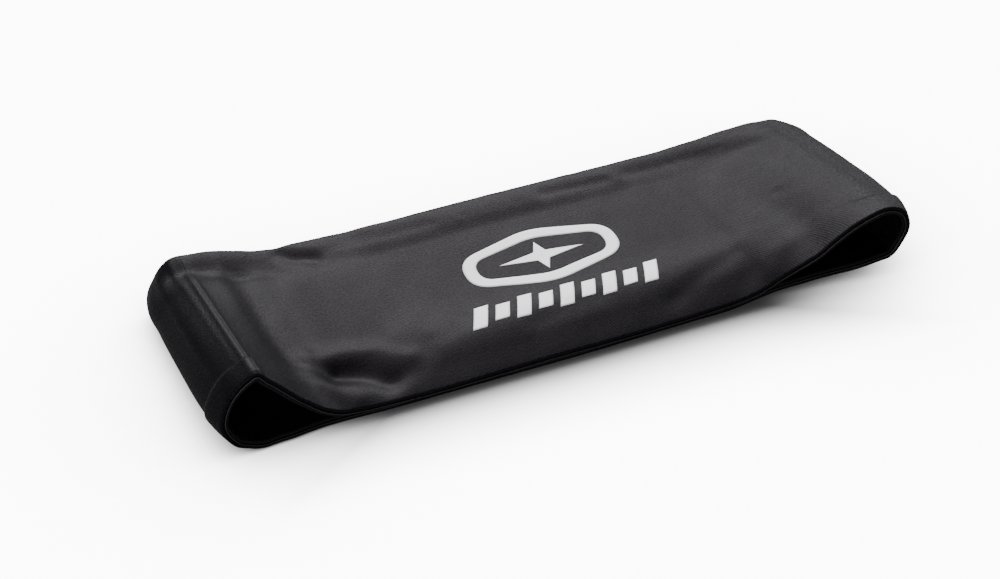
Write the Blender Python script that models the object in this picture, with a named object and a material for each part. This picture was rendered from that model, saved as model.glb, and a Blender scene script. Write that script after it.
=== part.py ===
"""Stretch-knit athletic headband, lying flattened on its side.

The band is a two-ply loop: two shell panels outside and two lining panels inside.
Every panel has its four borders turned in. The long borders of shell and lining are
sewn together by an edge seam, the short ends meet at two side seams. A printed
emblem of separate film islands sits on the front shell.
Lengths are given in millimetres and turned into metres when the meshes are made.
"""
import math

import bmesh
import bpy
import numpy as np

MM = 0.001

# ---- overall sizes -------------------------------------------------------------
BAND_WIDTH = 81.3        # across the band, edge to edge
BAND_REACH = 236.0       # flattened length of the loop, measured along the table
LOOP_RISE = 28.2         # height of the near rim at the left side seam

# ---- cloth and seams -----------------------------------------------------------
PLY = 0.5                # thickness of one ply of knit
GAP = 0.3                # free space kept between touching plies
HEM_ALLOWANCE = 9.0      # turned-in depth along the long edges
SIDE_ALLOWANCE = 5.0     # turned-in depth at the side seams
HEM_STEP = 3.0           # distance over which a ply comes down behind a turned edge
THREAD_RADIUS = 0.15     # seam threads
THREAD_ROUNDNESS = 1     # six faces round a thread

# ---- printed emblem ------------------------------------------------------------
FILM = 0.15              # thickness of the printed film
EMBLEM_WIDTH = 54.0      # outer width of the hexagon ring
EMBLEM_HEIGHT = 29.0     # outer height of the hexagon ring
EMBLEM_STROKE = 4.4      # width of the ring's band
RING_POINTS = 48         # points once round the ring
RING_ROWS = 2            # rows of faces across the ring's band
CORNER_POINTS = 6        # points that ease each corner of the ring
CORNER_SHARE = 0.47      # how far the easing runs along the ring's upright sides
EMBLEM_ALONG = 0.456     # centre of the emblem, share of the front panel's length
EMBLEM_ACROSS = 0.549    # centre of the ring, share of the band width from the near edge
STAR_LONG = 15.0         # reach of the star's points along the band
STAR_SHORT = 7.2         # and across it
STAR_WAIST = 3.0         # inner corners of the star
BAR_COUNT = 9
BAR_PITCH = 7.4
BAR_WIDTH = 4.8
BAR_TALL = 10.4
BAR_SHORT = 7.4
BAR_SLANT = 1.8
BAR_DROP = 22.4          # from the ring's centre to the middle of the bars

# ---- sizes that follow from the others -----------------------------------------
PITCH = PLY + GAP                        # from one ply to the next
HEM_HALF = 2.0 * PLY + 1.5 * GAP         # half the thickness of a finished edge
FOLD_CENTRE = GAP / 2.0 + PLY + GAP / 2.0  # middle of a turned edge, from the mid surface
FOLD_OUTER = PLY + GAP / 2.0             # outside radius of a turned edge
FOLD_INSET = GAP / 2.0 + FOLD_OUTER      # turned edge's centre line, from the seam line
THREAD_INSET = 0.04                      # edge seam thread, between the two turned edges
REFERENCE_REACH = 236.0                  # reach of the outline points below
REFERENCE_RISE = 28.2
REFERENCE_HALF = 1.45

RIGHT_SEAM = 14          # outline point that carries the right side seam
HEADING, SETBACK, FAR_HEADING = 2, 3, 6

# Outline of the loop at its two edges, clockwise from the left side seam.
# x, height, heading in degrees and set-back of the near edge; x, height and heading
# of the far edge; how far the middle swells in x and in height; depth of the valley
# behind the far hem; hems stacked under the point, counted in half thicknesses.
OUTLINE = (
    (0.0, 28.2, -10, 0.0, 0.0, 18.8, 0, 0.0, 0.0, 4.5, 3),
    (2.6, 25.7, -46, 0.0, 2.8, 18.6, -5, 0.0, 0.0, 4.5, 3),
    (12.0, 15.8, -46, 0.0, 11.0, 17.7, -11, 0.0, 0.5, 4.0, 3),
    (24.5, 6.4, -22, 0.0, 24.0, 14.1, -14, 0.0, 1.5, 3.5, 3),
    (40.0, 4.3, -3, 0.6, 40.0, 12.6, -2, 0.0, 2.4, 3.5, 3),
    (100.0, 4.1, 0, 1.0, 98.0, 12.8, 1, 0.0, 2.6, 3.5, 3),
    (158.0, 4.6, 4, 1.8, 155.0, 13.3, 1, 0.0, 2.6, 3.5, 3),
    (175.0, 8.2, 26, 1.6, 172.0, 13.6, 3, 0.0, 1.6, 3.0, 3),
    (191.0, 16.8, 28, 0.0, 188.0, 14.6, 4, 0.5, 0.0, 3.0, 3),
    (208.5, 25.7, 15, 0.0, 204.0, 15.9, 1, 1.2, 0.2, 2.0, 3),
    (216.6, 26.5, -12, 0.0, 213.5, 15.8, -8, 2.6, 0.8, 1.0, 3),
    (220.9, 24.3, -48, 0.0, 222.4, 14.0, -40, 4.6, 1.0, 0.3, 3),
    (222.9, 18.8, -90, 0.0, 227.2, 8.2, -90, 5.4, 0.0, 0.0, 2),
    (220.1, 11.6, -122, 0.0, 222.6, 3.2, -150, 4.2, -0.6, 0.0, 1),
    (218.0, 9.4, -150, 0.0, 217.5, 2.1, -168, 3.4, -0.7, 0.0, 1),
    (214.6, 8.5, -174, 0.3, 213.5, 1.7, -179, 2.6, -0.6, 0.0, 1),
    (196.0, 5.7, -180, 3.0, 195.0, 1.45, -180, 0.8, -0.3, 0.0, 1),
    (176.0, 3.4, -172, 5.2, 176.0, 1.45, -180, 0.0, 0.0, 0.0, 1),
    (157.0, 1.45, -180, 4.6, 156.0, 1.45, -180, 0.0, 0.0, 0.0, 1),
    (100.0, 1.45, -180, 3.4, 98.0, 1.45, -180, 0.0, 0.0, 0.0, 1),
    (42.0, 1.45, -180, 3.2, 42.0, 1.45, -180, 0.0, 0.0, 0.0, 1),
    (24.0, 2.2, -180, 3.0, 24.0, 1.45, -180, 0.0, 0.0, 0.0, 1),
    (8.0, 2.0, -180, 1.4, 6.0, 1.45, -180, 0.0, 0.0, 0.0, 1),
    (-2.3, 3.5, -207, 0.6, -3.0, 1.6, -181, 0.0, 0.0, 0.0, 1),
    (-7.2, 6.8, -232, 0.0, -8.5, 3.8, -240, -2.4, -0.4, 0.0, 1),
    (-10.7, 13.9, -270, 0.0, -9.3, 7.9, -284, -3.4, 0.0, 0.0, 2),
    (-7.7, 22.3, -304, 0.0, -6.4, 14.2, -296, -2.4, 0.3, 1.0, 3),
    (-2.4, 27.2, -330, 0.0, -2.9, 18.1, -328, -0.8, 0.0, 3.0, 3),
)

# Where the panels are divided along their length, as shares of the panel.
FRONT_STATIONS = (0.011, 0.022, 0.033, 0.048, 0.067, 0.09, 0.113, 0.142, 0.18, 0.24, 0.32, 0.41, 0.5,
                  0.58, 0.63, 0.665, 0.7, 0.735, 0.77, 0.805, 0.84, 0.865, 0.885, 0.902, 0.918,
                  0.933, 0.948, 0.962, 0.976, 0.988)
BACK_STATIONS = (0.011, 0.024, 0.045, 0.075, 0.11, 0.15, 0.19, 0.23, 0.28, 0.35, 0.43, 0.51, 0.59,
                 0.67, 0.735, 0.785, 0.822, 0.85, 0.872, 0.89, 0.906, 0.921, 0.936, 0.951, 0.965,
                 0.977, 0.989)
# Where they are divided across, between the two hems.
MIDDLE_STATIONS = (0.25, 0.375, 0.5, 0.625, 0.75)


def outline_columns():
    """The outline points as columns, brought to the driving sizes."""
    table = np.array(OUTLINE, dtype=float)
    reach = BAND_REACH / REFERENCE_REACH
    rise = LOOP_RISE / REFERENCE_RISE
    stack = table[:, 10] * HEM_HALF
    floor = table[:, 10] * REFERENCE_HALF
    for x_column in (0, 4):
        table[:, x_column] *= reach
    for z_column in (1, 5):
        raised = np.maximum(table[:, z_column] - floor, 0.0) * (rise - 1.0)
        table[:, z_column] += raised + stack - floor
    for turn_column in (HEADING, FAR_HEADING):
        turn = np.radians(table[:, turn_column])
        table[:, turn_column] = np.degrees(np.arctan2(np.sin(turn) * rise, np.cos(turn) * reach))
    return table


COLUMNS = outline_columns()
POINTS = len(COLUMNS)


def outline_curve(x, z, heading, knot):
    """Smooth closed curve through the outline points with the given headings."""
    first = np.floor(knot).astype(int) % POINTS
    second = (first + 1) % POINTS
    f = (knot - np.floor(knot))[:, None]
    points = np.stack([x, z], axis=1)
    start = points[first]
    end = points[second]
    chord = np.linalg.norm(end - start, axis=1, keepdims=True)
    turn = np.radians(heading)
    direction = np.stack([np.cos(turn), np.sin(turn)], axis=1)
    leave = direction[first] * chord
    arrive = direction[second] * chord
    return ((2 * f ** 3 - 3 * f ** 2 + 1) * start + (f ** 3 - 2 * f ** 2 + f) * leave
            + (3 * f ** 2 - 2 * f ** 3) * end + (f ** 3 - f ** 2) * arrive)


def eased(column, knot):
    """Value of a column between the outline points, eased at every point."""
    first = np.floor(knot).astype(int) % POINTS
    f = knot - np.floor(knot)
    f = f * f * (3 - 2 * f)
    return column[first] * (1 - f) + column[(first + 1) % POINTS] * f


def loop_line(knot, share):
    """Points of the band's mid surface on the line at one share of the width."""
    near = outline_curve(COLUMNS[:, 0], COLUMNS[:, 1], COLUMNS[:, HEADING], knot)
    far = outline_curve(COLUMNS[:, 4], COLUMNS[:, 5], COLUMNS[:, FAR_HEADING], knot)
    swell = (1 - (1 - share) ** 9) * (1 - share ** 9)
    valley = math.exp(-((share - 0.885) / 0.075) ** 2) * (1 - share ** 14)
    x = (1 - share) * near[:, 0] + share * far[:, 0] + swell * eased(COLUMNS[:, 7], knot)
    z = ((1 - share) * near[:, 1] + share * far[:, 1] + swell * eased(COLUMNS[:, 8], knot)
         - valley * eased(COLUMNS[:, 9], knot))
    y = BAND_WIDTH * (share - 0.5) + eased(COLUMNS[:, SETBACK], knot) * (1 - share) ** 3
    return np.stack([x, y, z], axis=1)


KNOTS_FINE = np.linspace(0.0, POINTS, 1401)


def surface_line(along, share):
    """Points at panel shares `along` (0 to 2 round the loop) on one line across."""
    line = loop_line(KNOTS_FINE, share)
    length = np.concatenate([[0.0], np.cumsum(np.linalg.norm(np.diff(line, axis=0), axis=1))])
    seam = np.interp(RIGHT_SEAM, KNOTS_FINE, length)
    wrapped = np.mod(along, 2.0)
    travelled = np.where(wrapped < 1.0, wrapped * seam, seam + (wrapped - 1.0) * (length[-1] - seam))
    return np.stack([np.interp(travelled, length, line[:, axis]) for axis in range(3)], axis=1)


def surface(along, share):
    """Points and outward normals of the mid surface for paired shares."""
    along = np.asarray(along, dtype=float)
    share = np.asarray(share, dtype=float)
    point = np.zeros((len(along), 3))
    normal = np.zeros((len(along), 3))
    step = 0.002
    for value in np.unique(share):
        pick = share == value
        a = along[pick]
        point[pick] = surface_line(a, value)
        forward = surface_line(a + step, value) - surface_line(a - step, value)
        across = surface_line(a, min(value + step, 1.0)) - surface_line(a, max(value - step, 0.0))
        n = np.cross(forward, across)
        normal[pick] = n / np.linalg.norm(n, axis=1, keepdims=True)
    return point, normal


FRONT_LENGTH = 248.0 * BAND_REACH / REFERENCE_REACH


def place(along, share, offset):
    """Vertices in metres, `offset` millimetres off the mid surface."""
    point, normal = surface(along, share)
    return (point + normal * np.asarray(offset, dtype=float)[:, None]) * MM


def material(name, colour, roughness):
    mat = bpy.data.materials.new(name)
    mat.use_nodes = True
    shader = mat.node_tree.nodes["Principled BSDF"]
    shader.inputs["Base Color"].default_value = (*colour, 1.0)
    shader.inputs["Roughness"].default_value = roughness
    return mat


def add_mesh(name, vertices, faces, parent, mat):
    """A mesh object with its faces pointing out, carried by the band's empty."""
    mesh = bpy.data.meshes.new(name)
    mesh.from_pydata([tuple(v) for v in vertices], [], faces)
    bm = bmesh.new()
    bm.from_mesh(mesh)
    bmesh.ops.recalc_face_normals(bm, faces=bm.faces)
    bm.to_mesh(mesh)
    bm.free()
    mesh.materials.append(mat)
    obj = bpy.data.objects.new(name, mesh)
    obj.parent = parent
    bpy.context.scene.collection.objects.link(obj)
    return obj


def smoothstep(value):
    t = np.clip(value, 0.0, 1.0)
    return t * t * (3 - 2 * t)


def ply_rise(along_mm, across_mm, length):
    """1 over the turned-in borders, falling to 0 behind them."""
    from_side = np.minimum(along_mm, length - along_mm) - SIDE_ALLOWANCE - GAP
    from_edge = np.minimum(across_mm, BAND_WIDTH - across_mm) - HEM_ALLOWANCE - GAP
    return 1.0 - smoothstep(np.minimum(from_side, from_edge) / HEM_STEP)


def border(rows, columns):
    """Indices of a grid's border, once round."""
    bottom = [(i, 0) for i in range(rows)]
    right = [(rows - 1, j) for j in range(1, columns)]
    top = [(i, columns - 1) for i in range(rows - 2, -1, -1)]
    left = [(0, j) for j in range(columns - 2, 0, -1)]
    return bottom + right + top + left


def add_panel(name, first_share, stations, side, parent, mat):
    """One ply: a sheet whose four borders are turned in under themselves.

    The outer and inner faces are grids over the panel. Rings of vertices carry the
    border round the turned edge, back under the sheet and up its raw end.
    """
    length = FRONT_LENGTH
    hem_line = HEM_ALLOWANCE + GAP
    across = [FOLD_INSET, 0.5 * hem_line, hem_line, hem_line + 0.5 * HEM_STEP, hem_line + HEM_STEP]
    across += [share * BAND_WIDTH for share in MIDDLE_STATIONS]
    across += [BAND_WIDTH - value for value in reversed(across[:5])]
    along = [FOLD_INSET] + [share * length for share in stations] + [length - FOLD_INSET]
    grid_along, grid_across = np.meshgrid(along, across, indexing="ij")
    rows, columns = grid_along.shape
    lift = ply_rise(grid_along.ravel(), grid_across.ravel(), length)
    centre = GAP / 2.0 + PLY / 2.0 + lift * PITCH
    vertices = []

    def put(along_mm, across_mm, offset):
        start = sum(len(block) for block in vertices)
        shares = first_share + np.asarray(along_mm) / length
        vertices.append(place(shares, np.asarray(across_mm) / BAND_WIDTH, side * np.asarray(offset)))
        return start

    outer = put(grid_along.ravel(), grid_across.ravel(), centre + PLY / 2.0)
    inner = put(grid_along.ravel(), grid_across.ravel(), centre - PLY / 2.0)
    edge = border(rows, columns)
    u = np.array([(along[i] - FOLD_INSET) / (length - 2 * FOLD_INSET) for i, j in edge])
    w = np.array([(across[j] - FOLD_INSET) / (BAND_WIDTH - 2 * FOLD_INSET) for i, j in edge])

    def ring(inset_along, inset_across, offset):
        return put(inset_along + u * (length - 2 * inset_along),
                   inset_across + w * (BAND_WIDTH - 2 * inset_across),
                   np.full(len(edge), offset))

    rings = []
    for angle in (135, 180, 225, 270):
        turn = math.radians(angle)
        inset = FOLD_INSET + FOLD_OUTER * math.cos(turn)
        rings.append(ring(inset, inset, FOLD_CENTRE + FOLD_OUTER * math.sin(turn)))
    low = GAP / 2.0
    high = GAP / 2.0 + PLY
    rings.append(ring(0.5 * SIDE_ALLOWANCE, 0.5 * HEM_ALLOWANCE, low))
    rings.append(ring(SIDE_ALLOWANCE, HEM_ALLOWANCE, low))
    rings.append(ring(SIDE_ALLOWANCE, HEM_ALLOWANCE, high))
    rings.append(ring(0.5 * SIDE_ALLOWANCE, 0.5 * HEM_ALLOWANCE, high))
    rings.append(ring(FOLD_INSET, FOLD_INSET, high))

    faces = []
    for i in range(rows - 1):
        for j in range(columns - 1):
            a = i * columns + j
            quad = (a, a + columns, a + columns + 1, a + 1)
            faces.append(tuple(outer + k for k in quad))
            faces.append(tuple(inner + k for k in reversed(quad)))
    count = len(edge)
    loops = [[outer + i * columns + j for i, j in edge]]
    loops += [[start + k for k in range(count)] for start in rings]
    loops.append([inner + i * columns + j for i, j in edge])
    for lower, upper in zip(loops, loops[1:]):
        for k in range(count):
            following = (k + 1) % count
            faces.append((lower[k], lower[following], upper[following], upper[k]))
    panel = add_mesh(name, np.concatenate(vertices), faces, parent, mat)
    panel.data.shade_smooth()
    return panel


def add_thread(name, along, share, closed, parent, mat):
    """A round thread lying on the mid surface, between the turned edges."""
    curve = bpy.data.curves.new(name, "CURVE")
    curve.dimensions = "3D"
    curve.bevel_depth = THREAD_RADIUS * MM
    curve.bevel_resolution = THREAD_ROUNDNESS
    curve.use_fill_caps = True
    spline = curve.splines.new("POLY")
    spline.points.add(len(along) - 1)
    for point, position in zip(spline.points, place(along, share, np.zeros(len(along)))):
        point.co = (*position, 1.0)
    spline.use_cyclic_u = closed
    curve.materials.append(mat)
    obj = bpy.data.objects.new(name, curve)
    obj.parent = parent
    bpy.context.scene.collection.objects.link(obj)
    return obj


def add_film(name, figure, faces, parent, mat):
    """A film island: a flat figure in the emblem's own millimetres, laid on the cloth."""
    figure = np.asarray(figure, dtype=float)
    along = EMBLEM_ALONG + figure[:, 0] / FRONT_LENGTH
    across = EMBLEM_ACROSS + figure[:, 1] / BAND_WIDTH
    underside = np.full(len(figure), GAP / 2.0 + PLY + GAP)
    film = add_mesh(name, place(along, across, underside), faces, parent, mat)
    solidify = film.modifiers.new("Film", "SOLIDIFY")
    solidify.thickness = FILM * MM
    solidify.offset = 1.0
    return film


def hexagon(width, height):
    """A pointed-top hexagon with eased corners, as points spaced evenly once round."""
    half_w = width / 2.0
    half_h = height / 2.0
    rounding = CORNER_SHARE * half_h
    corners = [(0, half_h), (half_w, half_h / 2), (half_w, -half_h / 2),
               (0, -half_h), (-half_w, -half_h / 2), (-half_w, half_h / 2)]
    points = []
    for k in range(6):
        before = np.array(corners[k - 1])
        corner = np.array(corners[k])
        after = np.array(corners[(k + 1) % 6])
        start = corner + (before - corner) / np.linalg.norm(before - corner) * rounding
        end = corner + (after - corner) / np.linalg.norm(after - corner) * rounding
        for t in np.linspace(0.0, 1.0, CORNER_POINTS):
            points.append((1 - t) ** 2 * start + 2 * t * (1 - t) * corner + t * t * end)
    points = np.array(points + points[:1])
    length = np.concatenate([[0.0], np.cumsum(np.linalg.norm(np.diff(points, axis=0), axis=1))])
    at = np.linspace(0.0, length[-1], RING_POINTS, endpoint=False)
    return np.stack([np.interp(at, length, points[:, axis]) for axis in range(2)], axis=1)


def ring_figure():
    """Rows of points from the outer line to the inner one, joined by triangles."""
    outer = hexagon(EMBLEM_WIDTH, EMBLEM_HEIGHT)
    inner = hexagon(EMBLEM_WIDTH - 2 * EMBLEM_STROKE, EMBLEM_HEIGHT - 2.2 * EMBLEM_STROKE)
    rows = [outer * (1 - t) + inner * t for t in np.linspace(0.0, 1.0, RING_ROWS + 1)]
    faces = []
    for row in range(RING_ROWS):
        for k in range(RING_POINTS):
            near = row * RING_POINTS + k
            far = row * RING_POINTS + (k + 1) % RING_POINTS
            faces.append((near + RING_POINTS, far + RING_POINTS, far))
            faces.append((near + RING_POINTS, far, near))
    return np.concatenate(rows), faces


def star_figure():
    points = [(0.0, 0.0)]
    for k in range(8):
        turn = math.radians(45 * k)
        tip = k % 2 == 0
        points.append(((STAR_LONG if tip else STAR_WAIST) * math.cos(turn),
                       (STAR_SHORT if tip else STAR_WAIST) * math.sin(turn)))
    return points, [(0, k, k % 8 + 1) for k in range(1, 9)]


def bar_figure(index):
    """A slanted bar under the ring; every second one is shorter."""
    middle = (index - (BAR_COUNT - 1) / 2.0) * BAR_PITCH
    half = (BAR_TALL if index % 2 == 0 else BAR_SHORT) / 2.0
    points = []
    for y in (-half, 0.0, half):
        lean = BAR_SLANT * y / (BAR_TALL / 2.0)
        points.append((middle + lean - BAR_WIDTH / 2.0, y - BAR_DROP))
        points.append((middle + lean + BAR_WIDTH / 2.0, y - BAR_DROP))
    return points, [(0, 1, 3), (0, 3, 2), (2, 3, 5), (2, 5, 4)]


def add_band(band):
    """The four panels and the threads that join them."""
    shell = (0.045, 0.043, 0.050)
    lining = (0.030, 0.029, 0.034)
    for name, first, stations, side, colour, roughness in (
            ("front_shell", 0.0, FRONT_STATIONS, 1.0, shell, 0.60),
            ("back_shell", 1.0, BACK_STATIONS, 1.0, shell, 0.60),
            ("front_lining", 0.0, FRONT_STATIONS, -1.0, lining, 0.70),
            ("back_lining", 1.0, BACK_STATIONS, -1.0, lining, 0.70)):
        add_panel(name, first, stations, side, band, material(name + "_knit", colour, roughness))

    thread = (0.012, 0.012, 0.014)
    round_loop = list(FRONT_STATIONS) + [1.0] + [1.0 + s for s in BACK_STATIONS] + [2.0]
    for name, share in (("near_edge_seam_thread", THREAD_INSET / BAND_WIDTH),
                        ("far_edge_seam_thread", 1.0 - THREAD_INSET / BAND_WIDTH)):
        add_thread(name, round_loop, np.full(len(round_loop), share), True, band,
                   material(name + "_polyester", thread, 0.50))
    start = 2.0 * FOLD_INSET / BAND_WIDTH
    hem = (HEM_ALLOWANCE + GAP) / BAND_WIDTH
    step = HEM_STEP / BAND_WIDTH
    half = [start, 0.5 * hem, hem, hem + 0.5 * step, hem + step] + list(MIDDLE_STATIONS[:2])
    across = half + [0.5] + [1.0 - share for share in reversed(half)]
    for name, along in (("left_side_seam_thread", 0.0), ("right_side_seam_thread", 1.0)):
        add_thread(name, np.full(len(across), along), across, False, band,
                   material(name + "_polyester", thread, 0.50))


def add_emblem(band):
    """The printed figure: a hexagon ring, a star inside it and a row of bars below."""
    figures = {"emblem_ring": ring_figure(), "emblem_star": star_figure()}
    for index in range(BAR_COUNT):
        figures[f"emblem_bar_{index + 1:02d}"] = bar_figure(index)
    for name, (points, faces) in figures.items():
        add_film(name, points, faces, band, material(name + "_film", (0.72, 0.72, 0.72), 0.45))


def build():
    for obj in list(bpy.data.objects):
        bpy.data.objects.remove(obj, do_unlink=True)
    band = bpy.data.objects.new("headband", None)
    bpy.context.scene.collection.objects.link(band)
    add_band(band)
    add_emblem(band)
    # The band stands on the table plane with its footprint centred on the origin.
    corners = np.array([v.co for obj in band.children if obj.type == "MESH" for v in obj.data.vertices])
    low = corners.min(axis=0)
    high = corners.max(axis=0)
    band.location = (-(low[0] + high[0]) / 2.0, -(low[1] + high[1]) / 2.0, -low[2])


build()
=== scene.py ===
import math

import bpy
import numpy as np
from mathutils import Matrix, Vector


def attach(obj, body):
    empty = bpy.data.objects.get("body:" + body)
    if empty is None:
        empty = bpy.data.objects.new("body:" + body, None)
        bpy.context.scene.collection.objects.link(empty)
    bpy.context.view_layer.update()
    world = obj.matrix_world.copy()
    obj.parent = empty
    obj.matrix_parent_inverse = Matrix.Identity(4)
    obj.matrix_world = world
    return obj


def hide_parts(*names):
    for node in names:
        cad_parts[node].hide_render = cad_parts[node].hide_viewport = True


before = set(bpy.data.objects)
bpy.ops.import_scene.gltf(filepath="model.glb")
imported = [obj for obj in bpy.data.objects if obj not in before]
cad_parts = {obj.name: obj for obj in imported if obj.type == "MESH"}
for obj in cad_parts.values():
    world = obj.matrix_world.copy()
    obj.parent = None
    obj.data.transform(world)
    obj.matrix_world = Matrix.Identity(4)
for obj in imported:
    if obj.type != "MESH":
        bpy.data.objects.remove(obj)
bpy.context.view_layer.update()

MM = 0.001

# The band in millimetres, as it is cut and sewn.
WIDTH = 81.3
LINE = 248.0             # one panel, from side seam to side seam
PLY = 0.5
HEM_DEPTH = 9.0
ROLL = 0.4               # radius of a turned edge at the middle of its ply
ROLL_CENTRE = 0.8        # the turned edge's middle, off the mid surface and in from the edge
HEM_LEVEL = 1.2          # the outer ply over a hem, off the mid surface
BODY_LEVEL = 0.4         # the same between the hems
LOWEST = 0.27            # lowest middle of a ply lying on the table
ORIGIN = np.array([-108.725, 0.045, 0.0])
SEAM_GAP = 0.05 / LINE
SEAM_LAP = 0.30 / LINE   # how far the back shell's welt laps over the front one at the left
WELT_PLACE, WELT_WIDTH, WELT_HEIGHT = 0.35, 1.25, 0.66     # the ridge over the left side seam

# Places where the cloth needs closer points: middle and half width in shares of a panel, and
# how many times closer.
DENSE_FRONT = [(0.0, 0.012, 3.0), (0.03, 0.05, 1.2), (1.0, 0.012, 3.0), (0.93, 0.06, 1.5)]
DENSE_BACK = [(0.0, 0.012, 3.0), (1.0, 0.012, 3.0), (0.94, 0.06, 1.5)]
SHELL_STATIONS, LINING_STATIONS = 330, 220

THREAD_RADIUS = 0.16
THREAD_SIDES = 8
STITCH = 2.4             # length of one stitch

# The print, in millimetres: its middle on the front panel, the ring, the star and the bars.
EMBLEM_S = 0.456 * LINE
EMBLEM_W = 0.549 * WIDTH
FILM_LIFT = PLY / 2 + 0.04
FILM_THICKNESS = 0.11
RING_WIDTH, RING_HEIGHT = 54.0, 29.0
RING_BAND_X, RING_BAND_Y = 8.8, 9.68     # how much smaller the ring is inside
CORNER_SHARE = 0.47      # how far a corner's easing reaches along the ring's short side
STAR_REACH_X, STAR_REACH_Y, STAR_WAIST = 15.0, 7.2, 3.0
BARS = 9
BAR_PITCH, BAR_HALF_WIDTH, BAR_DROP = 7.4, 2.4, 22.4
TALL_BAR, SHORT_BAR = 10.4, 7.4
BAR_SLANT = 1.8 / 5.2

# Camera, floor and lamps, in metres, watts and degrees. A lamp has its name, place, target,
# size and power.
AZIMUTH, ELEVATION, DISTANCE = 24.5, 35.5, 0.6592
AIM = np.array([-0.01047, 0.00634, 0.0])
LENS, SENSOR = 72.0, 36.0
# The floor's camera-only glow, and the power on its ambient occlusion that darkens the glow to a painted
# shadow near the band.
FLOOR_GLOW = 11.0
FLOOR_FALL = 2.3
LAMPS = (
    ("back_softbox", (0.22, 0.85, 0.64), (0, 0, 0), (1.0, 0.45), 24.0),
    ("overhead_softbox", (-0.05, 0.15, 0.95), (0, 0, 0), (0.6, 0.5), 7.0),
    ("side_softbox", (0.85, 0.45, 0.42), (0, 0, 0), (0.5, 0.4), 4.0),
    ("rim_fill", (-0.45, -0.88, 0.17), (0, 0, 0.01), (0.6, 0.12), 4.6),
)
ROOM_LIGHT = 0.10

# Creases of the front half: path of (along, across) points, half width and height.
CREASES = (
    (((16, 66), (17, 48), (18, 32), (21, 22)), 5.0, -1.0),
    (((28, 24), (38, 23), (48, 21), (57, 15)), 4.2, 1.0),
    (((35, 16), (43, 12.5), (50, 8)), 4.2, -2.3),
    (((26, 15), (31, 9), (38, 4)), 4.4, 1.0),
    (((58, 10), (66, 18), (78, 23)), 4.5, -0.5),
    (((57, 25), (66, 32)), 5.0, 0.4),
    (((34, 77), (38, 73), (43, 71)), 3.6, -1.25),
    (((4, 71.8), (32, 71.2)), 0.9, -0.10),
    (((58, 76), (72, 74.5), (84, 74)), 3.6, -0.4),
    (((128, 74), (150, 72.5)), 3.2, -0.5),
    (((160, 73.5), (182, 72.5), (204, 69)), 4.4, -0.85),
    (((146, 8), (158, 14), (172, 18)), 4.0, -0.5),
    (((100, 14), (122, 17)), 4.0, -0.35),
    (((196, 26), (198, 3)), 5.5, -0.5),
    (((186, 30), (189, 14), (182, 5)), 5.0, 0.6),
)
# Dents: place along and across, half sizes along and across, height.
DENTS = (
    (198, 37, 3.0, 1.6, -0.45),
    (218, 48, 9.0, 8.0, -0.35),
)

# Outline of the loop at its two edges, clockwise from the left side seam: x, height,
# heading and set-back of the near edge; x, height and heading of the far edge; swell of
# the middle in x and in height; depth of the valley behind the far hem.
OUTLINE = np.array((
    (0.0, 28.2, -10, 0.0, 0.0, 18.8, 0, 0.0, 0.0, 2.9),
    (2.6, 25.7, -46, 0.0, 2.8, 18.6, -5, 0.0, 0.0, 2.8),
    (12.0, 15.8, -46, 0.0, 11.0, 17.7, -11, 0.0, 0.5, 2.4),
    (24.5, 6.4, -22, 0.0, 24.0, 14.1, -14, 0.0, 1.5, 1.9),
    (40.0, 4.3, -3, 0.6, 40.0, 12.6, -2, 0.0, 2.4, 1.1),
    (100.0, 4.1, 0, 1.0, 98.0, 12.8, 1, 0.0, 2.6, 0.9),
    (158.0, 4.6, 4, 1.8, 155.0, 13.3, 1, 0.0, 2.6, 0.8),
    (175.0, 8.2, 26, 1.6, 172.0, 13.6, 3, 0.0, 1.6, 0.7),
    (191.0, 16.8, 28, 0.0, 188.0, 14.6, 4, 0.5, 0.0, 0.6),
    (208.5, 25.7, 15, 0.0, 204.0, 15.9, 1, 1.2, 0.2, 0.4),
    (216.6, 26.5, -12, 0.0, 213.5, 15.8, -8, 2.6, 0.8, 0.2),
    (220.9, 24.3, -48, 0.0, 222.4, 14.0, -40, 4.6, 1.0, 0.1),
    (222.9, 18.8, -90, 0.0, 227.2, 8.2, -90, 5.4, 0.0, 0.0),
    (220.1, 11.6, -122, 0.0, 222.6, 3.2, -150, 4.2, -0.6, 0.0),
    (218.0, 9.4, -150, 0.0, 217.5, 2.1, -168, 3.4, -0.7, 0.0),
    (214.6, 8.5, -174, 0.3, 213.5, 1.7, -179, 2.6, -0.6, 0.0),
    (196.0, 5.7, -180, 3.0, 195.0, 1.45, -180, 0.8, -0.3, 0.0),
    (176.0, 3.4, -172, 5.2, 176.0, 1.45, -180, 0.0, 0.0, 0.0),
    (157.0, 1.45, -180, 4.6, 156.0, 1.45, -180, 0.0, 0.0, 0.0),
    (100.0, 1.45, -180, 3.4, 98.0, 1.45, -180, 0.0, 0.0, 0.0),
    (42.0, 1.45, -180, 3.2, 42.0, 1.45, -180, 0.0, 0.0, 0.0),
    (24.0, 2.2, -180, 3.0, 24.0, 1.45, -180, 0.0, 0.0, 0.0),
    (8.0, 2.0, -180, 1.4, 6.0, 1.45, -180, 0.0, 0.0, 0.0),
    (-2.3, 3.5, -207, 0.6, -3.0, 1.6, -181, 0.0, 0.0, 0.0),
    (-7.2, 6.8, -232, 0.0, -8.5, 3.8, -240, -2.4, -0.4, 0.0),
    (-10.7, 13.9, -270, 0.0, -9.3, 7.9, -284, -3.4, 0.0, 0.0),
    (-7.7, 22.3, -304, 0.0, -6.4, 14.2, -296, -2.4, 0.3, 0.6),
    (-2.4, 27.2, -330, 0.0, -2.9, 18.1, -328, -0.8, 0.0, 2.2),
))
RIGHT_SEAM = 14          # the outline point at the right-hand side seam
KNOTS = np.linspace(0.0, len(OUTLINE), 2801)


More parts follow.
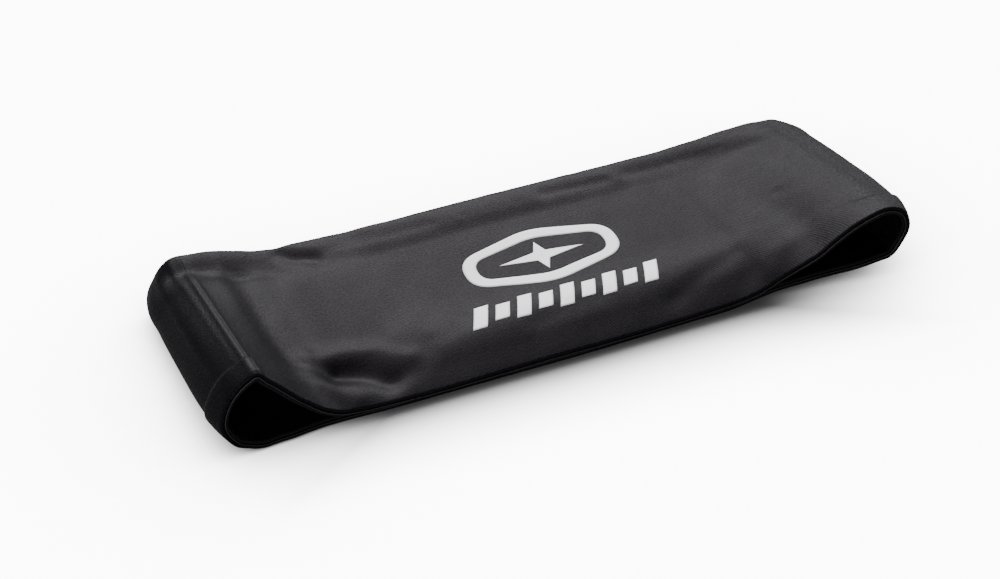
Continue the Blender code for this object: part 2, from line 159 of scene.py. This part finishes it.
def outline_curve(x, z, heading):
    """Closed cubic through the points: each span leaves and arrives along the given
    headings with a speed equal to its chord."""
    span = np.floor(KNOTS).astype(int) % len(x)
    after = (span + 1) % len(x)
    f = (KNOTS - np.floor(KNOTS))[:, None]
    points = np.stack([x, z], axis=1)
    chord = np.linalg.norm(points[after] - points[span], axis=1, keepdims=True)
    turn = np.radians(heading)
    way = np.stack([np.cos(turn), np.sin(turn)], axis=1)
    return ((2 * f ** 3 - 3 * f ** 2 + 1) * points[span] + (f ** 3 - 2 * f ** 2 + f) * way[span] * chord
            + (3 * f ** 2 - 2 * f ** 3) * points[after] + (f ** 3 - f ** 2) * way[after] * chord)


def eased(column):
    """A column between the outline points, moving from one to the next along 3f^2 - 2f^3."""
    span = np.floor(KNOTS).astype(int) % len(column)
    f = KNOTS - np.floor(KNOTS)
    f = f * f * (3 - 2 * f)
    return column[span] * (1 - f) + column[(span + 1) % len(column)] * f


NEAR = outline_curve(OUTLINE[:, 0], OUTLINE[:, 1], OUTLINE[:, 2])
FAR = outline_curve(OUTLINE[:, 4], OUTLINE[:, 5], OUTLINE[:, 6])
SET_BACK, SWELL_X, SWELL_Z, VALLEY = (eased(OUTLINE[:, k]) for k in (3, 7, 8, 9))


def loop_line(share):
    """The mid surface on one line round the loop: a blend of the two outlines by the share
    of the width, swollen between the hems and sunk in a valley behind the far hem."""
    swell = (1 - (1 - share) ** 9) * (1 - share ** 9)
    sink = math.exp(-((share - 0.885) / 0.075) ** 2) * (1 - share ** 14)
    x = (1 - share) * NEAR[:, 0] + share * FAR[:, 0] + swell * SWELL_X
    z = (1 - share) * NEAR[:, 1] + share * FAR[:, 1] + swell * SWELL_Z - sink * VALLEY
    y = WIDTH * (share - 0.5) + SET_BACK * (1 - share) ** 3
    return np.stack([x, y, z], axis=1) + ORIGIN


def along_line(shares, share):
    """Points at panel shares 0 to 2 round the loop, spaced by length along the line."""
    line = loop_line(share)
    length = np.concatenate([[0.0], np.cumsum(np.linalg.norm(np.diff(line, axis=0), axis=1))])
    seam = np.interp(RIGHT_SEAM, KNOTS, length)
    turn = np.mod(shares, 2.0)
    at = np.where(turn < 1.0, turn * seam, seam + (turn - 1.0) * (length[-1] - seam))
    return np.stack([np.interp(at, length, line[:, axis]) for axis in range(3)], axis=1)


def mid_surface(shares, across):
    """Points and outward normals on a grid, one row per share round the loop and one column
    per distance across in millimetres. The normal is the cross product of the small
    steps along and across."""
    points = np.zeros((len(shares), len(across), 3))
    normals = np.zeros_like(points)
    step = 0.002
    known = {}
    for column, distance in enumerate(across):
        share = min(max(distance / WIDTH, 0.0), 1.0)
        if share not in known:
            here = along_line(shares, share)
            forward = along_line(shares + step, share) - along_line(shares - step, share)
            side = along_line(shares, min(share + step, 1.0)) - along_line(shares, max(share - step, 0.0))
            known[share] = here, np.cross(forward, side)
        points[:, column], normals[:, column] = known[share]
    normals /= np.linalg.norm(normals, axis=2, keepdims=True)
    return points, normals


def smooth(value):
    """3t^2 - 2t^3, with t kept between 0 and 1."""
    t = np.clip(value, 0.0, 1.0)
    return t * t * (3 - 2 * t)


def crease(s, w, path, wide, high):
    """A soft ridge (or valley, where high is negative) along a path of points in the cloth:
    high times the bell curve of the distance to the path over its half width."""
    nearest = np.full(np.broadcast(s, w).shape, 1e9)
    for (s0, w0), (s1, w1) in zip(path, path[1:]):
        reach = (s1 - s0) ** 2 + (w1 - w0) ** 2
        t = np.clip(((s - s0) * (s1 - s0) + (w - w0) * (w1 - w0)) / reach, 0.0, 1.0)
        nearest = np.minimum(nearest, np.hypot(s - s0 - t * (s1 - s0), w - w0 - t * (w1 - w0)))
    return high * np.exp(-(nearest / wide) ** 2)


def dent(s, w, s0, w0, half_s, half_w, high):
    """A round dent or bulge: high times the bell curve of the distance over its half sizes."""
    return high * np.exp(-((s - s0) / half_s) ** 2 - ((w - w0) / half_w) ** 2)


def ripples(s, w, seed, count, shortest, longest, high):
    """A sum of sine waves whose lengths, directions and starts come from a seeded draw; they
    run within 0.9 radians of the band's length. Divided by the root of their count."""
    rng = np.random.default_rng(seed)
    total = np.zeros(np.broadcast(s, w).shape)
    for k in range(count):
        length = shortest * (longest / shortest) ** rng.random()
        slope = rng.uniform(-0.9, 0.9)
        phase = rng.uniform(0, 2 * math.pi)
        total = total + np.sin(2 * math.pi * (s * math.cos(slope) + w * math.sin(slope)) / length + phase)
    return high * total / math.sqrt(count)


def front_relief(s, w):
    """Wrinkles of the front half, in millimetres off the mid surface: a roll along the near
    edge, less a wide basin that ends in a rise to the far hem, plus the set creases and
    dents and faint long ripples that die out at the side seams."""
    edge = smooth(s / 12.0) * smooth((LINE - s) / 12.0)
    roll = smooth((s - 52.0) / 18.0) * smooth((196.0 - s) / 26.0)
    total = 1.85 * roll * np.exp(-((w - 19.0) / 8.6) ** 2)
    basin = smooth((s - 44.0) / 24.0) * smooth((218.0 - s) / 20.0)
    total = total - 1.25 * basin * smooth((w - 14.0) / 44.0) * (1 - smooth((w - 61.0) / 15.0))
    for path, wide, high in CREASES:
        total = total + crease(s, w, path, wide, high)
    for place in DENTS:
        total = total + dent(s, w, *place)
    return total + edge * ripples(s, w, 11, 14, 12.0, 50.0, 0.07)


def back_relief(s, w):
    """Faint long ripples of the back half, flat where the band lies on the table."""
    lying = smooth((s - 20.0) / 25.0) * smooth((LINE - 55.0 - s) / 25.0)
    edge = smooth(s / 12.0) * smooth((LINE - s) / 12.0)
    return edge * (1 - lying) * ripples(s, w, 23, 12, 16.0, 50.0, 0.18)


def hem_pucker(s, w):
    """Small gathers along the two edges: short waves that fade over a hem's depth."""
    from_edge = np.minimum(w, WIDTH - w)
    near_edge = np.exp(-(from_edge / 6.0) ** 2)
    hem_line = np.exp(-((from_edge - HEM_DEPTH) / 2.0) ** 2)
    gathers = near_edge * ripples(s, 0 * w, 5, 9, 4.0, 12.0, 0.03)
    return gathers + hem_line * ripples(s, 0 * w, 6, 9, 3.0, 8.0, 0.04)


def ply_path(side_points, hem_points, roll_points):
    """Cross-section of one ply at its middle: in from the raw end along the turned-in hem,
    round the turned edge, across the band, and the same back at the other edge.
    Returns distance across and height off the mid surface; the height is left out (nan) on
    the outer face, where ply_level gives it."""
    hem_in = np.linspace(HEM_DEPTH, ROLL_CENTRE, hem_points)[:-1]
    turn = np.linspace(-math.pi / 2, -3 * math.pi / 2, roll_points)
    roll_w = ROLL_CENTRE + ROLL * np.cos(turn)
    roll_d = ROLL_CENTRE + ROLL * np.sin(turn)
    half = (1 - np.cos(np.linspace(0, math.pi, side_points))) / 2
    even = np.linspace(0, 1, side_points)
    span = ROLL_CENTRE + (WIDTH - 2 * ROLL_CENTRE) * (0.55 * even + 0.45 * half)
    w = np.concatenate([hem_in, roll_w, span[1:-1], WIDTH - roll_w[::-1], WIDTH - hem_in[::-1]])
    low = np.full(hem_points - 1, ROLL_CENTRE - ROLL)
    d = np.concatenate([low, roll_d, np.full(side_points - 2, np.nan), roll_d[::-1], low])
    return w, d


def ply_level(s, w, fades):
    """Height of an outer ply off the mid surface: over the turned-in hem, then down to the
    body behind it on both sides."""
    near_fade, far_fade = fades(s)
    drop = smooth((w - HEM_DEPTH - 0.2) / near_fade) * smooth((WIDTH - w - HEM_DEPTH - 0.2) / far_fade)
    return HEM_LEVEL + (BODY_LEVEL - HEM_LEVEL) * drop


def ply_surface(first, stations, path, side, relief, seam_shape, fades):
    """Grid of one ply: mid-surface point plus its normal times the ply's height, which is
    the cross-section's height on the hems and steps down to the body behind them."""
    w, d = path
    s = stations * LINE
    points, normals = mid_surface(first + stations, w)
    S, W = np.meshgrid(s, w, indexing="ij")
    outer = ply_level(S, W, fades)
    height = np.where(np.isnan(d)[None, :], outer, np.nan_to_num(d)[None, :])
    height = height + np.where(np.isnan(d)[None, :], seam_shape(S, W), 0.0)
    height = side * height + relief(S, W) + hem_pucker(S, W)
    surface = points + normals * height[:, :, None]
    surface[:, :, 2] = np.maximum(surface[:, :, 2], LOWEST)
    return surface, S, W


def front_fades(s):
    """How far the two hems' steps are spread. The near one is crisp by the side seams and
    stretched out between them; the far one is widest at the left seam."""
    middle = smooth((s - 14.0) / 30.0) * smooth((222.0 - s) / 24.0)
    start = 1 - smooth((s - 0.5) / 7.0)
    return 1.8 + 9.0 * middle, 5.2 + 8.8 * start + 1.6 * smooth((s - 26.0) / 10.0)


def back_fades(s):
    """The same for the back half, where only the near hem's step is crisp."""
    return 1.8 + 0 * s, 14.0 + 0 * s


def grid_faces(rows, columns, closed=False):
    """Quads of a grid, rows by columns; a closed grid joins its last row to its first."""
    i, j = np.meshgrid(np.arange(rows if closed else rows - 1), np.arange(columns - 1), indexing="ij")
    here, there = i * columns + j, ((i + 1) % rows) * columns + j
    return np.stack([here, there, there + 1, here + 1], axis=-1).reshape(-1, 4)


def make_mesh(name, vertices, faces, uv=None, mat=None, smooth_shading=True):
    """A mesh object at the origin; `uv` gives one pair per vertex, in metres of cloth."""
    mesh = bpy.data.meshes.new(name)
    vertices = np.asarray(vertices, dtype=np.float32).reshape(-1, 3)
    faces = np.asarray(faces, dtype=np.int32)
    mesh.vertices.add(len(vertices))
    mesh.vertices.foreach_set("co", vertices.ravel())
    corners = faces.shape[1]
    mesh.loops.add(faces.size)
    mesh.loops.foreach_set("vertex_index", faces.ravel())
    mesh.polygons.add(len(faces))
    mesh.polygons.foreach_set("loop_start", np.arange(0, faces.size, corners, dtype=np.int32))
    mesh.update(calc_edges=True)
    mesh.validate()
    if uv is not None:
        layer = mesh.uv_layers.new(name="cloth")
        layer.data.foreach_set("uv", np.asarray(uv, dtype=np.float32).reshape(-1, 2)[faces.ravel()].ravel())
    if mat is not None:
        mesh.materials.append(mat)
    if smooth_shading:
        mesh.shade_smooth()
    obj = bpy.data.objects.new(name, mesh)
    bpy.context.scene.collection.objects.link(obj)
    return obj


def thicken(obj, thickness, offset):
    """Give a surface its thickness; offset 0 spreads it both ways, 1 outward only."""
    solid = obj.modifiers.new("Thickness", "SOLIDIFY")
    solid.thickness = thickness
    solid.offset = offset
    return obj


# ---------------------------------------------------------------- materials ---

def arith(tree, kind, first, second=None, third=None):
    """A Math node; each of its inputs is a number or another node's output."""
    node = tree.nodes.new("ShaderNodeMath")
    node.operation = kind
    for slot, value in enumerate((first, second, third)):
        if value is None:
            continue
        if isinstance(value, (int, float)):
            node.inputs[slot].default_value = value
        else:
            tree.links.new(value, node.inputs[slot])
    return node.outputs[0]


def smooth_range(tree, value, start, end, low=0.0, high=1.0):
    """A Map Range node that goes smoothly from low at `start` to high at `end`."""
    node = tree.nodes.new("ShaderNodeMapRange")
    node.interpolation_type = "SMOOTHSTEP"
    node.inputs["From Min"].default_value = start
    node.inputs["From Max"].default_value = end
    node.inputs["To Min"].default_value = low
    node.inputs["To Max"].default_value = high
    tree.links.new(value, node.inputs["Value"])
    return node.outputs["Result"]


def noise_on(tree, place, scale, detail):
    """Noise of a given scale at a place, less its middle value of a half."""
    noise = tree.nodes.new("ShaderNodeTexNoise")
    noise.inputs["Scale"].default_value = scale
    noise.inputs["Detail"].default_value = detail
    tree.links.new(place, noise.inputs["Vector"])
    return arith(tree, "SUBTRACT", noise.outputs["Fac"], 0.5)


def object_place(tree):
    """Object coordinates, whole and split into X, Y and Z."""
    place = tree.nodes.new("ShaderNodeTexCoord")
    split = tree.nodes.new("ShaderNodeSeparateXYZ")
    tree.links.new(place.outputs["Object"], split.inputs[0])
    return place.outputs["Object"], split.outputs


def knit_group():
    """Fine jersey knit in the cloth's own UV: slanted ribs of stitches, a crossing of
    courses and a soft irregular grain. Puts out a height and a shade."""
    tree = bpy.data.node_groups.new("jersey_knit", "ShaderNodeTree")
    for name, way, usual in (("Rib Pitch", "INPUT", 0.0008), ("Rib Strength", "INPUT", 1.0),
                             ("Height", "OUTPUT", 0.5), ("Shade", "OUTPUT", 0.5)):
        socket = tree.interface.new_socket(name=name, in_out=way, socket_type="NodeSocketFloat")
        socket.default_value = usual
    given = tree.nodes.new("NodeGroupInput").outputs
    out = tree.nodes.new("NodeGroupOutput").inputs
    place = tree.nodes.new("ShaderNodeUVMap")
    place.uv_map = "cloth"
    split = tree.nodes.new("ShaderNodeSeparateXYZ")
    tree.links.new(place.outputs["UV"], split.inputs[0])
    along, across = split.outputs["X"], split.outputs["Y"]
    turn = arith(tree, "DIVIDE", 2 * math.pi, given["Rib Pitch"])
    lean = arith(tree, "MULTIPLY_ADD", across, 0.75, along)
    wale = arith(tree, "SINE", arith(tree, "MULTIPLY", lean, turn))
    cross_lean = arith(tree, "SUBTRACT", across, arith(tree, "MULTIPLY", along, 0.35))
    course = arith(tree, "SINE", arith(tree, "MULTIPLY", cross_lean, turn))
    grain = noise_on(tree, place.outputs["UV"], 1500.0, 3.0)
    cloud = noise_on(tree, place.outputs["UV"], 140.0, 4.0)
    ribs = arith(tree, "MULTIPLY_ADD", wale, 0.30, arith(tree, "MULTIPLY", course, 0.18))
    ribs = arith(tree, "MULTIPLY_ADD", ribs, given["Rib Strength"], 0.5)
    tree.links.new(arith(tree, "MULTIPLY_ADD", grain, 1.9, ribs), out["Height"])
    soft = arith(tree, "MULTIPLY_ADD", cloud, 0.3, 0.5)
    tree.links.new(arith(tree, "MULTIPLY_ADD", grain, 2.0, soft), out["Shade"])
    return tree


KNIT = knit_group()


def two_colours(tree, factor, dark, light):
    """A colour between dark and light by the factor."""
    mix = tree.nodes.new("ShaderNodeMix")
    mix.data_type = "RGBA"
    mix.inputs["A"].default_value = (*dark, 1)
    mix.inputs["B"].default_value = (*light, 1)
    tree.links.new(factor, mix.inputs["Factor"])
    return mix.outputs["Result"]


def raise_surface(tree, height, strength, distance, shader):
    """A bump of the given strength and height on the shader's normal."""
    lift = tree.nodes.new("ShaderNodeBump")
    lift.inputs["Strength"].default_value = strength
    lift.inputs["Distance"].default_value = distance
    tree.links.new(height, lift.inputs["Height"])
    tree.links.new(lift.outputs["Normal"], shader.inputs["Normal"])


def knit_material(name, dark, light, roughness):
    """Satin stretch knit: the group's shade mixes two greys and gives the lighter stitches
    more gloss. Its ribs grow toward the right-hand near corner, where the cloth is pulled."""
    mat = bpy.data.materials.new(name)
    mat.use_nodes = True
    tree = mat.node_tree
    shader = tree.nodes["Principled BSDF"]
    knit = tree.nodes.new("ShaderNodeGroup")
    knit.node_tree = KNIT
    knit.inputs["Rib Pitch"].default_value = 0.0009
    whole, axes = object_place(tree)
    toward_corner = arith(tree, "MULTIPLY_ADD", axes["Y"], -1.5, axes["X"])
    tree.links.new(smooth_range(tree, toward_corner, -0.05, 0.09, 0.35, 1.15), knit.inputs["Rib Strength"])
    shade = knit.outputs["Shade"]
    tree.links.new(two_colours(tree, shade, dark, light), shader.inputs["Base Color"])
    tree.links.new(arith(tree, "MULTIPLY_ADD", shade, -0.16, roughness + 0.08), shader.inputs["Roughness"])
    raise_surface(tree, knit.outputs["Height"], 0.5, 0.00012, shader)
    shader.inputs["Specular IOR Level"].default_value = 0.050
    shader.inputs["Specular Tint"].default_value = (0.96, 0.87, 1.0, 1)
    return mat


def plain_material(name, colour, roughness, scale, spread):
    """A base colour varied by a fine noise in Object coordinates."""
    mat = bpy.data.materials.new(name)
    mat.use_nodes = True
    tree = mat.node_tree
    shader = tree.nodes["Principled BSDF"]
    whole, axes = object_place(tree)
    noise = arith(tree, "ADD", noise_on(tree, whole, scale, 4.0), 0.5)
    dark = [c * (1 - spread) for c in colour]
    light = [min(c * (1 + spread), 1) for c in colour]
    tree.links.new(two_colours(tree, noise, dark, light), shader.inputs["Base Color"])
    raise_surface(tree, noise, 0.25, 0.0001, shader)
    shader.inputs["Roughness"].default_value = roughness
    return mat


shell_knit = knit_material("shell_knit", (0.0004, 0.0003, 0.0005), (0.0086, 0.0073, 0.0100), 0.46)
lining_knit = knit_material("lining_knit", (0.004, 0.004, 0.005), (0.011, 0.0105, 0.012), 0.65)
thread_finish = plain_material("seam_thread", (0.012, 0.012, 0.014), 0.5, 3000.0, 0.3)
film_finish = plain_material("print_film", (0.80, 0.80, 0.82), 0.5, 1800.0, 0.06)


# ------------------------------------------------------------------- panels ---

def panel_stations(count, dense):
    """Shares from side seam to side seam, closer together around the dense places."""
    fine = np.linspace(0, 1, 4001)
    weight = np.full_like(fine, 1.0)
    for middle, half, extra in dense:
        weight += extra * np.exp(-((fine - middle) / half) ** 2)
    total = np.concatenate([[0], np.cumsum((weight[1:] + weight[:-1]) / 2)])
    return np.interp(np.linspace(0, total[-1], count), total, fine)


def left_welt(from_seam, w):
    """The soft ridge over the left side seam: a bell curve centred just past the seam, lower
    where the far hem crosses it."""
    high = WELT_HEIGHT * (1 - 0.6 * smooth((w - 68.0) / 5.0))
    return high * np.exp(-((from_seam - WELT_PLACE) / WELT_WIDTH) ** 2)


def front_seams(s, w):
    """The front shell at its side seams: its share of the left welt with the end tucked under,
    and a low welt before the right-hand seam, where the end curls down."""
    tuck = -0.42 * np.exp(-s / 0.30)
    far_welt = 0.35 * np.exp(-((LINE - s - 1.4) / 1.2) ** 2)
    curl = -0.5 * np.exp(-(LINE - s) / 0.35)
    return left_welt(s, w) + tuck + far_welt + curl


def back_seams(s, w):
    """The back shell at its side seams: the end curls down at the right-hand seam, and at the
    left it rises over the welt and closes down on the front shell."""
    curl = -0.5 * np.exp(-s / 0.35)
    closing = -0.14 * np.exp(-np.maximum(LINE * (1 + SEAM_LAP) - s, 0.0) / 0.15)
    return curl + left_welt(s - LINE, w) + closing


def lining_ends(s, w):
    """The lining's ends curl into the seam on its own side."""
    return -0.5 * np.exp(-s / 0.35) - 0.5 * np.exp(-(LINE - s) / 0.35)


def add_ply(name, node, first, stations, path, side, relief, seam_shape, fades, mat):
    """One knit panel with both hems turned in; its UV is metres of cloth along and across."""
    surface, S, W = ply_surface(first, stations, path, side, relief, seam_shape, fades)
    rows, columns = S.shape
    length = np.concatenate([[0.0], np.cumsum(np.hypot(np.diff(path[0]), 0.0))])
    uv = np.stack([(first * LINE + S) * MM, np.broadcast_to(length[None, :] * MM, S.shape)], axis=-1)
    faces = grid_faces(rows, columns)
    if side < 0:
        faces = faces[:, ::-1]
    obj = make_mesh(name, surface * MM, faces, uv, mat)
    thicken(obj, PLY * MM * 0.96, 0.0)
    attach(obj, "root")
    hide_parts(node)
    return obj


shell_path = ply_path(96, 7, 11)
lining_path = ply_path(60, 5, 9)
front_stations = SEAM_GAP + (1 - 2 * SEAM_GAP) * panel_stations(SHELL_STATIONS, DENSE_FRONT)
back_stations = SEAM_GAP + (1 + SEAM_LAP - SEAM_GAP) * panel_stations(SHELL_STATIONS, DENSE_BACK)
front_coarse = SEAM_GAP + (1 - 2 * SEAM_GAP) * panel_stations(LINING_STATIONS, DENSE_FRONT)
back_coarse = SEAM_GAP + (1 - 2 * SEAM_GAP) * panel_stations(LINING_STATIONS, DENSE_BACK)
front_shell = add_ply("front_shell_cloth", "front_shell", 0.0, front_stations, shell_path, 1.0,
                      front_relief, front_seams, front_fades, shell_knit)
back_shell = add_ply("back_shell_cloth", "back_shell", 1.0, back_stations, shell_path, 1.0,
                     back_relief, back_seams, back_fades, shell_knit)
front_lining = add_ply("front_lining_cloth", "front_lining", 0.0, front_coarse, lining_path, -1.0,
                       front_relief, lining_ends, front_fades, lining_knit)
back_lining = add_ply("back_lining_cloth", "back_lining", 1.0, back_coarse, lining_path, -1.0,
                      back_relief, lining_ends, back_fades, lining_knit)


# ------------------------------------------------------------------ threads ---

def thread(name, node, centre, closed):
    """A round thread: centre plus its radius times (cos a beside + sin a up), with beside and
    up square to the path; an open one comes to a point at both ends."""
    if closed:
        forward = np.roll(centre, -1, axis=0) - np.roll(centre, 1, axis=0)
    else:
        forward = np.gradient(centre, axis=0)
    forward /= np.linalg.norm(forward, axis=1, keepdims=True)
    beside = np.cross(forward, np.array([0.13, 0.9, 0.41]))
    beside /= np.linalg.norm(beside, axis=1, keepdims=True)
    up = np.cross(beside, forward)
    thick = np.full(len(centre), THREAD_RADIUS)
    if not closed:
        thick[[0, -1]] *= 0.02
    a = np.linspace(0, 2 * math.pi, THREAD_SIDES + 1)[None, :, None]
    ring = centre[:, None] + thick[:, None, None] * (np.cos(a) * beside[:, None] + np.sin(a) * up[:, None])
    faces = grid_faces(len(centre), THREAD_SIDES + 1, closed)
    station, side = faces // (THREAD_SIDES + 1), faces % (THREAD_SIDES + 1) % THREAD_SIDES
    obj = make_mesh(name, ring[:, :-1] * MM, station * THREAD_SIDES + side, None, thread_finish)
    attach(obj, "root")
    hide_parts(node)
    return obj


def edge_thread(name, node, distance):
    """The seam thread along one edge: at `distance` across the mid surface, swinging a little
    to and fro once per stitch and following the cloth's relief."""
    shares = np.linspace(0, 2, 1400, endpoint=False)
    points, normals = mid_surface(shares, np.array([distance]))
    s = shares * LINE
    w = np.full_like(s, distance)
    relief = np.where(shares < 1.0, front_relief(s, w), back_relief(s - LINE, w)) + hem_pucker(s % LINE, w)
    swing = 0.03 * np.sin(2 * math.pi * s / STITCH)
    return thread(name, node, points[:, 0] + normals[:, 0] * (swing + relief)[:, None], True)


near_thread = edge_thread("near_edge_stitches", "near_edge_seam_thread", 0.05)
far_thread = edge_thread("far_edge_stitches", "far_edge_seam_thread", WIDTH - 0.05)


def side_thread(name, node, share):
    """The seam thread down one side seam, on the mid surface, swinging once per stitch."""
    across = np.linspace(1.2, WIDTH - 1.2, 260)
    points, normals = mid_surface(np.array([share]), across)
    swing = 0.08 * np.sin(2 * math.pi * across / STITCH)
    return thread(name, node, points[0] + normals[0] * swing[:, None], False)


left_thread = side_thread("left_side_stitches", "left_side_seam_thread", 0.0)
right_thread = side_thread("right_side_stitches", "right_side_seam_thread", 1.0)


# ------------------------------------------------------------------- emblem ---

def on_cloth(figure, lift):
    """Points of the shell's outer face under a flat figure: figure x runs along the band and
    y across it; each point is looked up on the mid surface by its own two distances."""
    flat = figure.reshape(-1, 2)
    s = EMBLEM_S + flat[:, 0]
    w = EMBLEM_W + flat[:, 1]
    grid_s = np.linspace(s.min() - 1, s.max() + 1, 90)
    grid_w = np.linspace(w.min() - 1, w.max() + 1, 60)
    points, normals = mid_surface(grid_s / LINE, grid_w)
    fs = (s - grid_s[0]) / (grid_s[1] - grid_s[0])
    fw = (w - grid_w[0]) / (grid_w[1] - grid_w[0])
    i = np.clip(fs.astype(int), 0, len(grid_s) - 2)
    j = np.clip(fw.astype(int), 0, len(grid_w) - 2)
    a, b = (fs - i)[:, None], (fw - j)[:, None]

    def blend(values):
        """Between the four grid values round each point, by its shares of the cell."""
        return ((1 - a) * (1 - b) * values[i, j] + a * (1 - b) * values[i + 1, j]
                + (1 - a) * b * values[i, j + 1] + a * b * values[i + 1, j + 1])

    height = lift + ply_level(s, w, front_fades) + front_relief(s, w) + hem_pucker(s, w)
    return blend(points) + blend(normals) * height[:, None]


def add_film(name, node, figure, closed=False):
    """One printed figure: its grid laid on the cloth and given the film's thickness."""
    rows, columns = figure.shape[:2]
    faces = grid_faces(rows, columns, closed)
    obj = make_mesh(name, on_cloth(figure, FILM_LIFT) * MM, faces, None, film_finish)
    thicken(obj, FILM_THICKNESS * MM, 1.0)
    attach(obj, "root")
    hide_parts(node)
    return obj


def eased_hexagon(width, height, count):
    """A pointed-top hexagon whose corners are eased: each corner is a parabola between points
    set back along its two sides. Returned as `count` points spaced evenly along it."""
    rounding = CORNER_SHARE * height / 2
    corners = np.array([(0, .5), (.5, .25), (.5, -.25), (0, -.5), (-.5, -.25), (-.5, .25)])
    corners = corners * np.array([width, height])
    before, after = np.roll(corners, 1, axis=0), np.roll(corners, -1, axis=0)
    start = corners + (before - corners) / np.linalg.norm(before - corners, axis=1, keepdims=True) * rounding
    end = corners + (after - corners) / np.linalg.norm(after - corners, axis=1, keepdims=True) * rounding
    t = np.linspace(0, 1, 12)[None, :, None]
    path = ((1 - t) ** 2 * start[:, None] + 2 * t * (1 - t) * corners[:, None] + t ** 2 * end[:, None])
    path = path.reshape(-1, 2)
    path = np.vstack([path, path[:1]])
    length = np.concatenate([[0], np.cumsum(np.linalg.norm(np.diff(path, axis=0), axis=1))])
    at = np.linspace(0, length[-1], count, endpoint=False)
    return np.stack([np.interp(at, length, path[:, k]) for k in range(2)], axis=1)


def ring_figure():
    """Straight rows between the outer hexagon and the smaller inner one."""
    outer = eased_hexagon(RING_WIDTH, RING_HEIGHT, 220)
    inner = eased_hexagon(RING_WIDTH - RING_BAND_X, RING_HEIGHT - RING_BAND_Y, 220)
    inward = np.linspace(0, 1, 6)[None, :, None]
    return outer[:, None] * (1 - inward) + inner[:, None] * inward


def star_figure():
    """Four long points and four waist points in turn, 45 degrees apart, joined by straight
    sides and filled toward the middle."""
    corner = np.arange(9)
    turn = np.radians(45.0 * corner)
    x = np.where(corner % 2 == 0, STAR_REACH_X, STAR_WAIST) * np.cos(turn)
    y = np.where(corner % 2 == 0, STAR_REACH_Y, STAR_WAIST) * np.sin(turn)
    at = np.linspace(0, 8, 161)[:-1]
    side = np.stack([np.interp(at, corner, x), np.interp(at, corner, y)], axis=1)
    return side[:, None] * np.linspace(0.02, 1, 9)[None, :, None]


def bar_figure(index):
    """One slanted bar of the row under the ring; the bars are tall and short in turn."""
    half = (TALL_BAR if index % 2 == 0 else SHORT_BAR) / 2
    y = np.linspace(-half, half, 14)[:, None]
    middle = (index - (BARS - 1) / 2) * BAR_PITCH
    x = middle + BAR_SLANT * y + np.linspace(-BAR_HALF_WIDTH, BAR_HALF_WIDTH, 8)
    return np.stack([x, np.broadcast_to(y - BAR_DROP, x.shape)], axis=-1)


films = [add_film("emblem_ring_film", "emblem_ring", ring_figure(), True),
         add_film("emblem_star_film", "emblem_star", star_figure(), True)]
for index in range(BARS):
    number = f"{index + 1:02d}"
    films.append(add_film("emblem_bar_film_" + number, "emblem_bar_" + number, bar_figure(index)))


# ------------------------------------------------------------ floor and light ---

def add_floor():
    """A matt floor. Seen directly it glows like a brightly lit white sweep, with painted shadow
    wherever the band stands close over it and in a painted soft shadow strip under its near edge;
    everything else sees only its dull grey."""
    corners = [(-3, -3, 0), (3, -3, 0), (3, 3, 0), (-3, 3, 0)]
    floor = make_mesh("floor", corners, [(0, 1, 2, 3)], None, None, False)
    mat = bpy.data.materials.new("pale_floor")
    mat.use_nodes = True
    tree = mat.node_tree
    shader = tree.nodes["Principled BSDF"]
    shader.inputs["Base Color"].default_value = (0.30, 0.30, 0.30, 1)
    shader.inputs["Roughness"].default_value = 1.0
    shader.inputs["Specular IOR Level"].default_value = 0.0
    near = tree.nodes.new("ShaderNodeAmbientOcclusion")
    near.samples = 16
    near.inputs["Distance"].default_value = 0.07
    # Painted shadow: the glow fades where the band stands close over the floor.
    open_share = arith(tree, "POWER", near.outputs["AO"], FLOOR_FALL)
    whole, axes = object_place(tree)
    # Painted shadow strip: the glow is kept only in front of the band's near edge, behind the band and past
    # its ends.
    in_front = smooth_range(tree, axes["Y"], -0.034, -0.076)
    behind = smooth_range(tree, axes["Y"], -0.02, 0.03)
    past_ends = smooth_range(tree, arith(tree, "ABSOLUTE", axes["X"]), 0.060, 0.125)
    clear_of_painted_shadow = arith(tree, "MAXIMUM", arith(tree, "MAXIMUM", in_front, behind), past_ends)
    seen = tree.nodes.new("ShaderNodeLightPath").outputs["Is Camera Ray"]
    glow = arith(tree, "MULTIPLY", arith(tree, "MULTIPLY", open_share, clear_of_painted_shadow), seen)
    shader.inputs["Emission Color"].default_value = (1, 1, 1, 1)
    tree.links.new(arith(tree, "MULTIPLY", glow, FLOOR_GLOW), shader.inputs["Emission Strength"])
    floor.data.materials.append(mat)


def add_light(name, place, target, size, power):
    """A rectangular soft lamp at a place, turned to its target."""
    lamp = bpy.data.lights.new(name, "AREA")
    lamp.shape = "RECTANGLE"
    lamp.size, lamp.size_y = size
    lamp.energy = power
    obj = bpy.data.objects.new(name, lamp)
    obj.location = place
    obj.rotation_euler = (Vector(target) - Vector(place)).to_track_quat("-Z", "Y").to_euler()
    bpy.context.scene.collection.objects.link(obj)


add_floor()
for lamp_values in LAMPS:
    add_light(*lamp_values)
world = bpy.data.worlds.new("studio")
world.use_nodes = True
world.node_tree.nodes["Background"].inputs["Color"].default_value = (1, 1, 1, 1)
world.node_tree.nodes["Background"].inputs["Strength"].default_value = ROOM_LIGHT
bpy.context.scene.world = world

view = bpy.data.cameras.new("camera")
view.sensor_width = SENSOR
view.lens = LENS
view.clip_start = 0.01
camera = bpy.data.objects.new("camera", view)
turn, tilt = math.radians(AZIMUTH), math.radians(ELEVATION)
looking = np.array([math.sin(turn) * math.cos(tilt), math.cos(turn) * math.cos(tilt), -math.sin(tilt)])
camera.location = AIM - looking * DISTANCE
camera.rotation_euler = (math.pi / 2 - tilt, 0, -turn)
bpy.context.scene.collection.objects.link(camera)
bpy.context.scene.camera = camera
